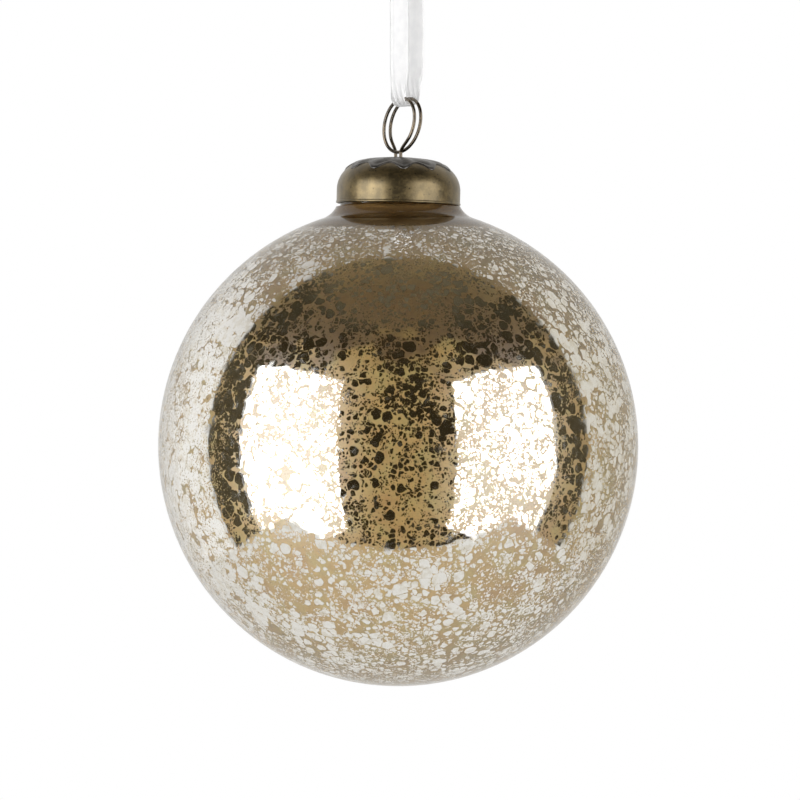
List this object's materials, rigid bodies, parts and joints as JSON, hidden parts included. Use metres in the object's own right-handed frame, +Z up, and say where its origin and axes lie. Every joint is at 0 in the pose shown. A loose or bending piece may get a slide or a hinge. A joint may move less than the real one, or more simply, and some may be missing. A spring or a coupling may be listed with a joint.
{
  "type": "glass ball ornament",
  "caption": "Hollow glass ball ornament, silvered and gilded inside, with a domed petal cap, a wire hanging loop with spring legs and a ribbon loop.",
  "frame": {"origin": "on the line of the hook that carries the ribbon loop, straight above the middle of the ball", "axes": "+Z up along the ball's axis, +X to the viewer's right, +Y away from the viewer"},
  "size_m": [0.1, 0.1, 0.1741],
  "materials": {
    "glass": "clear glass over a broken silver mirror and gold paint",
    "cap_brass": "antiqued, satin",
    "wire_brass": "antiqued, satin",
    "ribbon": "white satin"
  },
  "bodies": {
    "ribbon_top": {"ribbon_knot": "ribbon", "ribbon_upper_near": "ribbon", "ribbon_upper_far": "ribbon"},
    "ribbon_bight": {"ribbon_lower": "ribbon"},
    "hanger": {"hanger_loop": "wire_brass"},
    "leg_left": {"spring_leg_left": "wire_brass"},
    "leg_right": {"spring_leg_right": "wire_brass"},
    "cap": {"cap_shell": "cap_brass", "petal_rosette": "cap_brass"},
    "ball": {"glass_ball": "glass"}
  },
  "joints": [
    {"name": "ribbon_twist", "type": "hinge", "parent": "ribbon_top", "child": "ribbon_bight", "pos_m": [0.0018, -0.0023, -0.018], "axis": [0, 0, 1], "range_deg": [-180, 180]},
    {"name": "hanger_swing", "type": "hinge", "parent": "ribbon_bight", "child": "hanger", "pos_m": [0, 0, -0.03545], "axis": [0.6157, -0.788, 0], "range_deg": [-60, 60]},
    {"name": "cap_lift", "type": "slide", "parent": "hanger", "child": "cap", "axis": [0, 0, 1], "range_m": [0, 0.0005]},
    {"name": "ball_pull_off", "type": "slide", "parent": "hanger", "child": "ball", "axis": [0, 0, -1], "range_m": [0, 0.02]},
    {"name": "leg_left_squeeze", "type": "hinge", "parent": "hanger", "child": "leg_left", "pos_m": [-0.00053, 0.00181, -0.0491], "axis": [-0.788, -0.6157, 0], "range_deg": [0, 22.1]},
    {"name": "leg_right_squeeze", "type": "hinge", "parent": "hanger", "child": "leg_right", "pos_m": [0.00053, -0.00181, -0.0491], "axis": [0.788, 0.6157, 0], "range_deg": [0, 22.1]}
  ],
  "couplings": [
    {"joint": "leg_left_squeeze", "follows": "ball_pull_off", "rad_per_m": 19.2},
    {"joint": "leg_right_squeeze", "follows": "ball_pull_off", "rad_per_m": 19.2}
  ]
}
